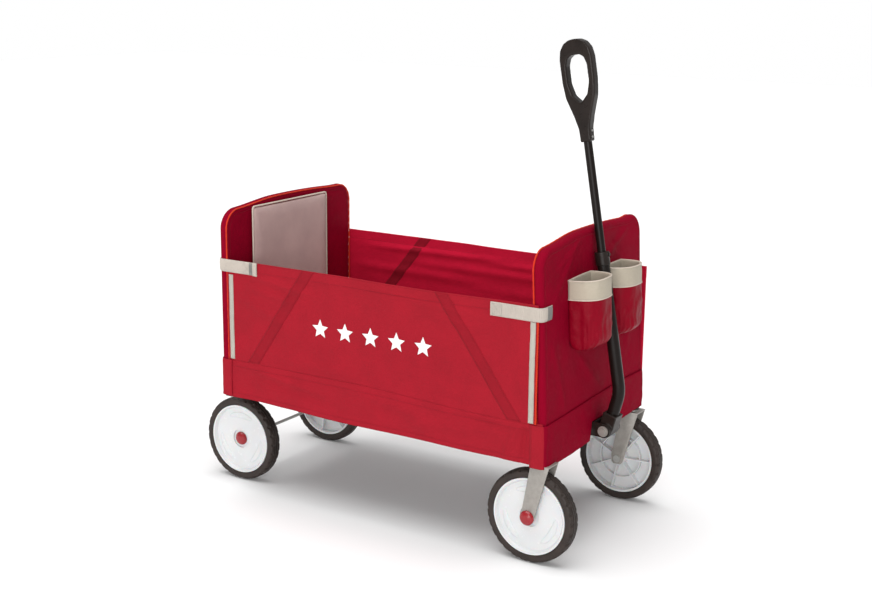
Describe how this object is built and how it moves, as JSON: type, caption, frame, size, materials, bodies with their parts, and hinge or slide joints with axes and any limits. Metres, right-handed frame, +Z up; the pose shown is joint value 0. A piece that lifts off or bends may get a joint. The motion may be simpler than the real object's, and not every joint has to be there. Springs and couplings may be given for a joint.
{
  "type": "folding kids pull wagon",
  "caption": "Folding fabric pull wagon with hooped ends, swivelling front casters, fixed rear axle, telescoping loop handle and two drink pockets.",
  "frame": {"origin": "on the floor, midway between the outermost points of the front and rear wheels and on the centre line", "axes": "+X forward to the pull handle, +Y to the wagon's left, +Z up"},
  "size_m": [1.0846, 0.5284, 1.1376],
  "materials": {
    "rim_plastic": "moulded gloss",
    "tyre": "solid foamed tyre, satin",
    "zinc_steel": "zinc plated",
    "red_plastic": "moulded gloss",
    "fork_paint": "satin powder coat",
    "frame_paint": "black powder coat",
    "stiffener": "corrugated sheet",
    "pad_fabric": "woven cover on foam",
    "red_fabric": "coated plain-weave polyester",
    "webbing": "ribbed polyester webbing",
    "black_plastic": "moulded satin-gloss",
    "black_tube": "gloss black paint"
  },
  "bodies": {
    "rear_end": {"rear_hoop": "frame_paint", "rear_cross_tube": "frame_paint", "rear_corner_blocks": "black_plastic", "rear_axle_legs": "fork_paint", "rear_axle": "zinc_steel", "rear_axle_caps": "red_plastic", "rear_board": "stiffener", "rear_cover": "red_fabric", "rear_pad": "pad_fabric", "rear_floor_brackets": "zinc_steel", "left_side_panel": "red_fabric", "left_skirt": "red_fabric", "right_skirt": "red_fabric"},
    "rear_left_wheel": {"rear_left_hub": "rim_plastic", "rear_left_tyre": "tyre"},
    "rear_right_wheel": {"rear_right_hub": "rim_plastic", "rear_right_tyre": "tyre"},
    "rear_floor": {"rear_floor_frame": "frame_paint", "rear_floor_panel": "stiffener", "rear_floor_seat_pad": "pad_fabric", "floor_mid_pins": "zinc_steel"},
    "front_floor": {"front_floor_frame": "frame_paint", "front_floor_panel": "stiffener", "front_floor_seat_pad": "pad_fabric", "floor_pull_strap": "webbing"},
    "front_end": {"front_hoop": "frame_paint", "front_cross_tube": "frame_paint", "caster_sockets": "black_plastic", "front_board": "stiffener", "front_cover": "red_fabric", "front_pad": "pad_fabric", "front_floor_brackets": "zinc_steel", "handle_bracket": "black_plastic", "handle_pivot_bolt": "zinc_steel", "left_pocket": "red_fabric", "right_pocket": "red_fabric", "pocket_bands": "webbing"},
    "left_caster": {"caster_left_fork": "fork_paint", "caster_left_stem": "zinc_steel", "caster_left_axle": "zinc_steel", "caster_left_cap": "red_plastic"},
    "right_caster": {"caster_right_fork": "fork_paint", "caster_right_stem": "zinc_steel", "caster_right_axle": "zinc_steel", "caster_right_cap": "red_plastic"},
    "front_left_wheel": {"front_left_hub": "rim_plastic", "front_left_tyre": "tyre"},
    "front_right_wheel": {"front_right_hub": "rim_plastic", "front_right_tyre": "tyre"},
    "handle_lower": {"handle_lower_tube": "black_tube", "handle_knuckle": "black_plastic", "handle_collar": "black_plastic"},
    "handle_upper": {"handle_upper_tube": "black_tube", "handle_grip": "black_plastic", "grip_screws": "zinc_steel"},
    "lock_button": {"lock_button": "black_plastic"},
    "side_flap": {"side_flap_panel": "red_fabric", "side_flap_zips": "webbing", "side_flap_straps": "webbing"}
  },
  "joints": [
    {"name": "floor_fold", "type": "hinge", "parent": "rear_end", "child": "rear_floor", "pos_m": [-0.374, 0, 0.3], "axis": [0, -1, 0], "range_deg": [0, 80]},
    {"name": "floor_middle", "type": "hinge", "parent": "rear_floor", "child": "front_floor", "pos_m": [0.01865, 0, 0.276], "axis": [0, -1, 0], "range_deg": [-160, 0]},
    {"name": "front_end_fold", "type": "hinge", "parent": "front_floor", "child": "front_end", "pos_m": [0.4113, 0, 0.3], "axis": [0, -1, 0], "range_deg": [0, 80]},
    {"name": "rear_left_spin", "type": "hinge", "parent": "rear_end", "child": "rear_left_wheel", "pos_m": [-0.4343, 0.182, 0.108], "axis": [0, 1, 0], "continuous": true},
    {"name": "rear_right_spin", "type": "hinge", "parent": "rear_end", "child": "rear_right_wheel", "pos_m": [-0.4343, -0.182, 0.108], "axis": [0, 1, 0], "continuous": true},
    {"name": "left_swivel", "type": "hinge", "parent": "front_end", "child": "left_caster", "pos_m": [0.4613, 0.2313, 0.24], "axis": [0, 0, 1], "continuous": true},
    {"name": "right_swivel", "type": "hinge", "parent": "front_end", "child": "right_caster", "pos_m": [0.4613, -0.2313, 0.24], "axis": [0, 0, 1], "continuous": true},
    {"name": "front_left_spin", "type": "hinge", "parent": "left_caster", "child": "front_left_wheel", "pos_m": [0.4343, 0.2313, 0.108], "axis": [0, 1, 0], "continuous": true},
    {"name": "front_right_spin", "type": "hinge", "parent": "right_caster", "child": "front_right_wheel", "pos_m": [0.4343, -0.2313, 0.108], "axis": [0, 1, 0], "continuous": true},
    {"name": "handle_pitch", "type": "hinge", "parent": "front_end", "child": "handle_lower", "pos_m": [0.5043, 0, 0.258], "axis": [0, 1, 0], "range_deg": [0, 105]},
    {"name": "handle_slide", "type": "slide", "parent": "handle_lower", "child": "handle_upper", "axis": [-0.1771, 0, 0.9842], "range_m": [-0.17, 0]},
    {"name": "button_press", "type": "slide", "parent": "handle_lower", "child": "lock_button", "axis": [-0.9842, 0, -0.1771], "range_m": [0, 0.0025], "stiffness_N_per_m": 600},
    {"name": "flap_fold", "type": "hinge", "parent": "rear_end", "child": "side_flap", "pos_m": [0, -0.2563, 0.3334], "axis": [1, 0, 0], "range_deg": [0, 165]}
  ],
  "couplings": [
    {"joint": "floor_middle", "follows": "floor_fold", "ratio": -2},
    {"joint": "front_end_fold", "follows": "floor_fold", "ratio": 1}
  ]
}
